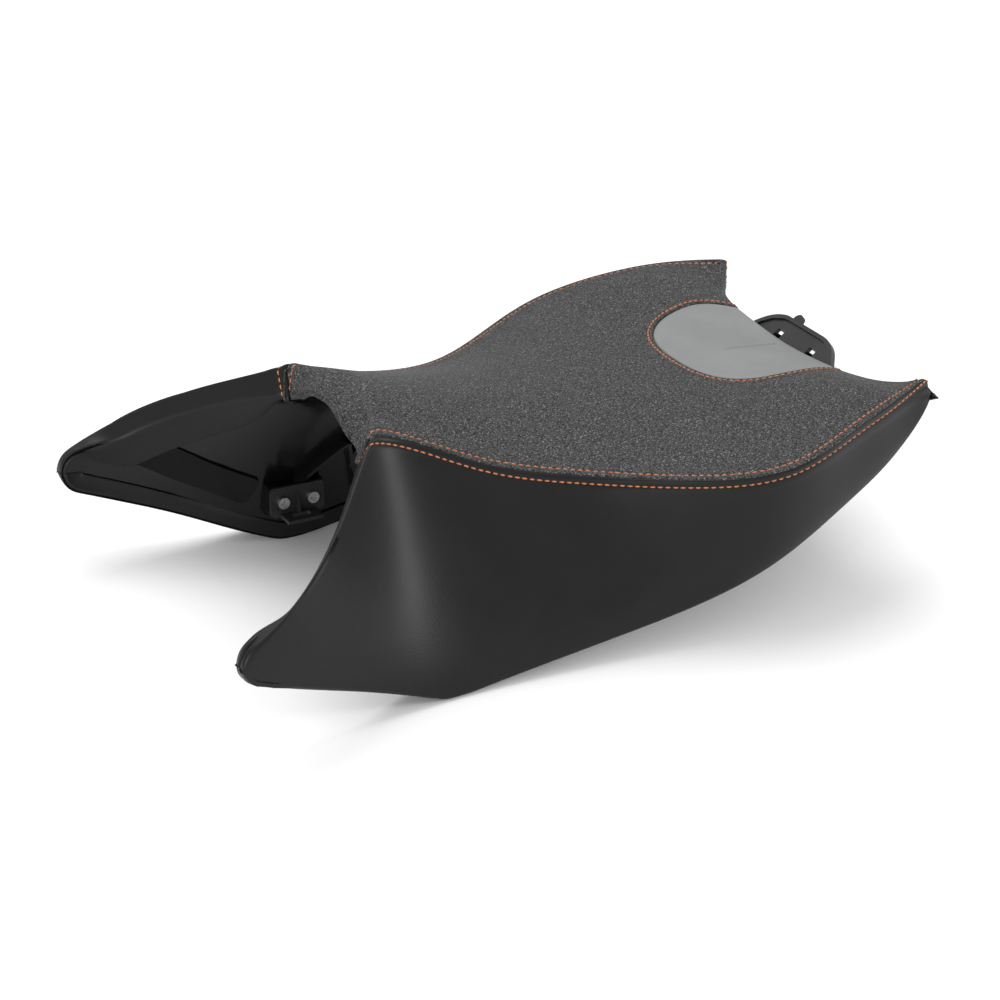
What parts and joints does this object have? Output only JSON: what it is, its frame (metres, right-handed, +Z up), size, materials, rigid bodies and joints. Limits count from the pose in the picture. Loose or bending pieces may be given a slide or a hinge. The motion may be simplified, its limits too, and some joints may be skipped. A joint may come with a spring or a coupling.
{
  "type": "motorcycle seat",
  "caption": "Rider seat for a naked motorcycle: padded saddle with two long forward wings, stitched two-tone cover, moulded pan and a rear locating tongue.",
  "frame": {"origin": "centre of the bounding box at floor height, under the two wing corners", "axes": "+X forward to the wing tips, +Y to the rider's left, +Z up"},
  "size_m": [0.5131, 0.3414, 0.1648],
  "materials": {
    "pan_black_plastic": "moulded gloss black",
    "seat_foam": "moulded polyurethane foam",
    "grip_vinyl": "pebbled anti-slip vinyl",
    "smooth_vinyl": "smooth satin vinyl",
    "grey_leather": "smooth mid-grey leather",
    "tongue_plastic": "satin glass-filled nylon",
    "zinc_steel": "zinc plated",
    "insert_brass": "turned brass",
    "backing_tape": "woven tape",
    "felt_strip": "self-adhesive felt",
    "bumper_rubber": "moulded rubber"
  },
  "bodies": {
    "root": {"base_pan": "pan_black_plastic", "foam_core": "seat_foam", "cover_top_panel": "grip_vinyl", "cover_side_left": "smooth_vinyl", "cover_side_right": "smooth_vinyl", "cover_rear_insert": "grey_leather", "rear_tongue": "tongue_plastic", "tongue_screws": "zinc_steel", "tongue_inserts": "insert_brass", "front_hook_left": "tongue_plastic", "front_hook_right": "tongue_plastic", "hook_screws_left": "zinc_steel", "hook_screws_right": "zinc_steel", "seam_tape_left": "backing_tape", "seam_tape_right": "backing_tape", "wing_strip_left": "felt_strip", "wing_strip_right": "felt_strip", "bumper_front_left": "bumper_rubber", "bumper_front_right": "bumper_rubber", "bumper_middle_left": "bumper_rubber", "bumper_middle_right": "bumper_rubber", "bumper_rear_left": "bumper_rubber", "bumper_rear_right": "bumper_rubber"}
  },
  "joints": []
}
